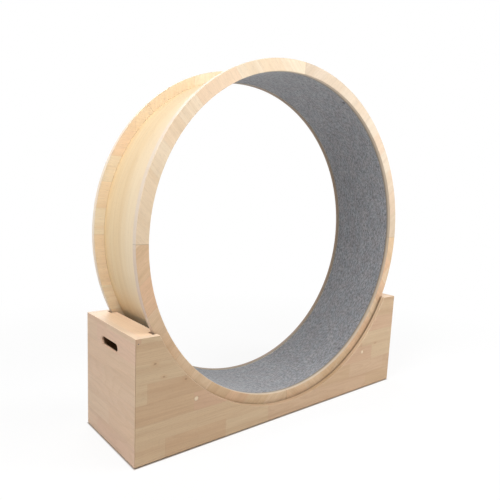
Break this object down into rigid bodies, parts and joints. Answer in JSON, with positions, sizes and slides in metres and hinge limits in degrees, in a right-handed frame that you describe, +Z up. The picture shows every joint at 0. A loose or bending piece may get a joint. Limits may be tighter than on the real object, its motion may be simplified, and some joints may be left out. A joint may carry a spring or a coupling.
{
  "type": "cat exercise wheel",
  "caption": "Large wooden running wheel for a cat, felt inside, turning on hidden rollers in a closed box base with hand slots.",
  "frame": {"origin": "on the floor under the middle of the base", "axes": "+X along the base to the right, +Y through the wheel away from the front, +Z up"},
  "size_m": [1.216, 0.3568, 1.246],
  "materials": {
    "panel_wood": "clear matt lacquer on laminated staves",
    "top_wood": "clear matt lacquer on laminated staves",
    "rim_wood": "clear matt lacquer on laminated staves",
    "drum_ply": "clear lacquer on bent plywood",
    "cap_wood": "turned, lacquered",
    "hidden_wood": "bare",
    "felt": "pressed felt, heathered",
    "urethane": "satin cast urethane",
    "nylon": "moulded",
    "steel": "zinc plated",
    "glide": "matt"
  },
  "bodies": {
    "base": {"bearing_inner_rings": "steel", "bearing_sleeves": "steel", "panel_spacers": "steel", "nut_washers": "steel", "axle_bolts": "steel", "axle_nuts": "steel", "axle_caps": "cap_wood", "front_panel": "panel_wood", "rear_panel": "panel_wood", "left_end_panel": "panel_wood", "left_top_board": "top_wood", "left_top_cleat": "hidden_wood", "right_end_panel": "panel_wood", "right_top_board": "top_wood", "right_top_cleat": "hidden_wood", "corner_cleat_front_left": "hidden_wood", "corner_cleat_front_right": "hidden_wood", "corner_cleat_rear_left": "hidden_wood", "corner_cleat_rear_right": "hidden_wood", "floor_panel": "hidden_wood", "floor_dowels": "hidden_wood", "cleat_screws": "steel", "corner_pins": "steel", "glide_feet": "glide"},
    "wheel": {"rim_front_upper_right": "rim_wood", "rim_front_lower_right": "rim_wood", "rim_front_lower_left": "rim_wood", "rim_front_upper_left": "rim_wood", "rim_rear_right": "rim_wood", "rim_rear_bottom": "rim_wood", "rim_rear_left": "rim_wood", "rim_rear_top": "rim_wood", "drum_right_half": "drum_ply", "drum_left_half": "drum_ply", "drum_seam_straps": "drum_ply", "running_mat": "felt", "rim_splines": "hidden_wood"},
    "roller_front_left": {"roller_tyre_front_left": "urethane", "roller_hub_front_left": "nylon", "guide_disc_front_left": "nylon", "bearing_outer_rings_front_left": "steel", "bearing_balls_front_left": "steel"},
    "roller_front_right": {"roller_tyre_front_right": "urethane", "roller_hub_front_right": "nylon", "guide_disc_front_right": "nylon", "bearing_outer_rings_front_right": "steel", "bearing_balls_front_right": "steel"},
    "roller_rear_left": {"roller_tyre_rear_left": "urethane", "roller_hub_rear_left": "nylon", "guide_disc_rear_left": "nylon", "bearing_outer_rings_rear_left": "steel", "bearing_balls_rear_left": "steel"},
    "roller_rear_right": {"roller_tyre_rear_right": "urethane", "roller_hub_rear_right": "nylon", "guide_disc_rear_right": "nylon", "bearing_outer_rings_rear_right": "steel", "bearing_balls_rear_right": "steel"}
  },
  "joints": [
    {"name": "wheel_spin", "type": "hinge", "parent": "base", "child": "wheel", "pos_m": [0, 0, 0.646], "axis": [0, 1, 0], "continuous": true},
    {"name": "roller_spin_front_left", "type": "hinge", "parent": "base", "child": "roller_front_left", "pos_m": [-0.40664, -0.1487, 0.16481], "axis": [0, 1, 0], "continuous": true},
    {"name": "roller_spin_front_right", "type": "hinge", "parent": "base", "child": "roller_front_right", "pos_m": [0.40664, -0.1487, 0.16481], "axis": [0, 1, 0], "continuous": true},
    {"name": "roller_spin_rear_left", "type": "hinge", "parent": "base", "child": "roller_rear_left", "pos_m": [-0.40664, 0.1487, 0.16481], "axis": [0, 1, 0], "continuous": true},
    {"name": "roller_spin_rear_right", "type": "hinge", "parent": "base", "child": "roller_rear_right", "pos_m": [0.40664, 0.1487, 0.16481], "axis": [0, 1, 0], "continuous": true}
  ],
  "couplings": [
    {"joint": "roller_spin_front_left", "follows": "wheel_spin", "ratio": -20.202},
    {"joint": "roller_spin_front_right", "follows": "wheel_spin", "ratio": -20.202},
    {"joint": "roller_spin_rear_left", "follows": "wheel_spin", "ratio": -20.202},
    {"joint": "roller_spin_rear_right", "follows": "wheel_spin", "ratio": -20.202}
  ]
}
